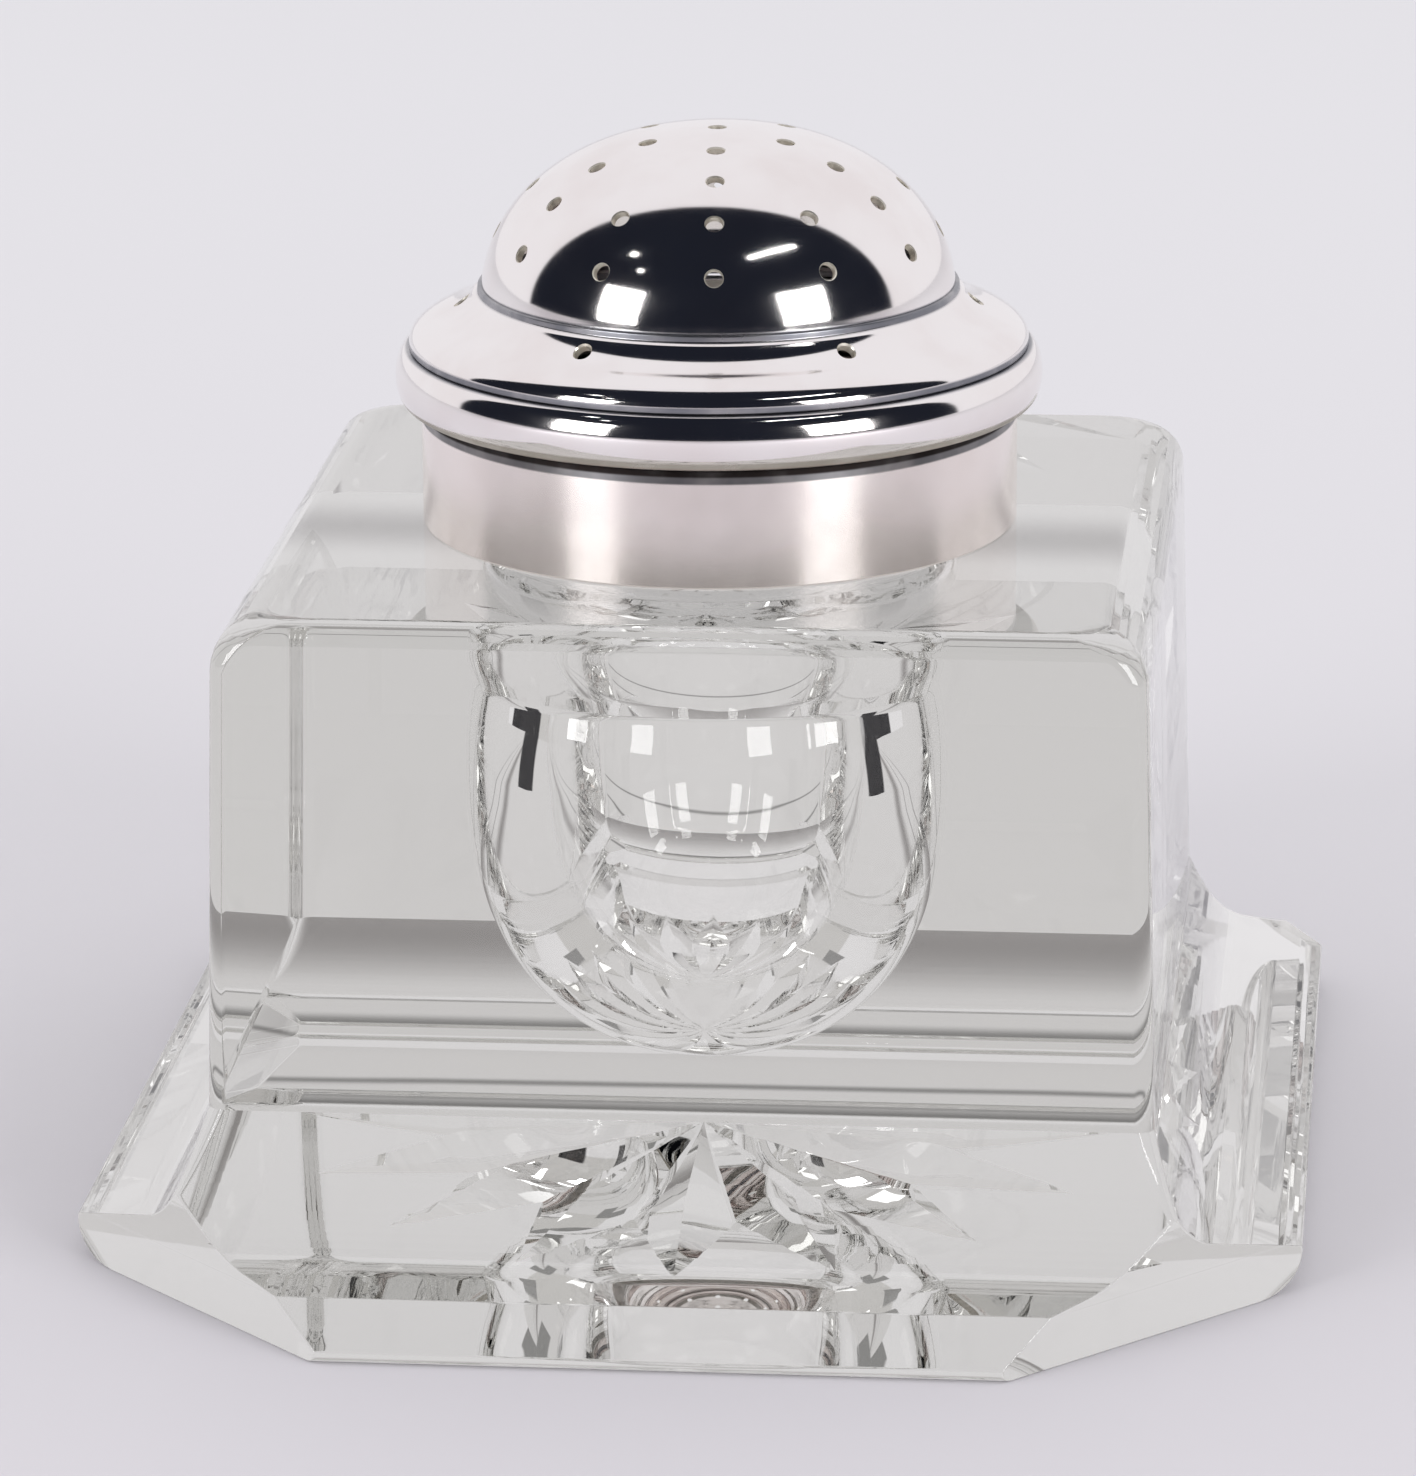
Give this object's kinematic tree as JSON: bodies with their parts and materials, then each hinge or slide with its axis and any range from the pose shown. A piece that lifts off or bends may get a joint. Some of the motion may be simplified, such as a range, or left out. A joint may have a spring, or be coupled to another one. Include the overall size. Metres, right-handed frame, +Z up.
{
  "type": "crystal inkwell",
  "caption": "Square cut-glass inkwell on a splayed base, star-cut underneath, with a silver collar and a hinged, pierced dome lid.",
  "frame": {"origin": "centre of the underside of the glass base, which is also the foot of the well's axis", "axes": "+Z up along the well's axis, -Y towards the front with the large cut corners, +Y towards the hinge"},
  "size_m": [0.095, 0.106, 0.0835],
  "materials": {
    "crystal": "polished",
    "plaster": "matte",
    "silver": "polished",
    "dull_silver": "worn"
  },
  "bodies": {
    "stand": {"glass_block": "crystal", "neck_plaster": "plaster", "collar_sleeve": "silver", "mouth_ring": "silver", "collar_hinge_bearer": "silver", "hinge_knuckle_left": "silver", "hinge_knuckle_right": "silver", "hinge_pin": "dull_silver"},
    "lid": {"hinge_knuckle_lid": "silver", "lid_hinge_bearer": "silver", "lid_rim": "silver", "lid_bezel": "silver", "lid_shoulder": "silver", "lid_dome": "silver"}
  },
  "joints": [
    {"name": "lid_hinge", "type": "hinge", "parent": "stand", "child": "lid", "pos_m": [0, 0.0255, 0.062], "axis": [-1, 0, 0], "range_deg": [0, 100]}
  ]
}
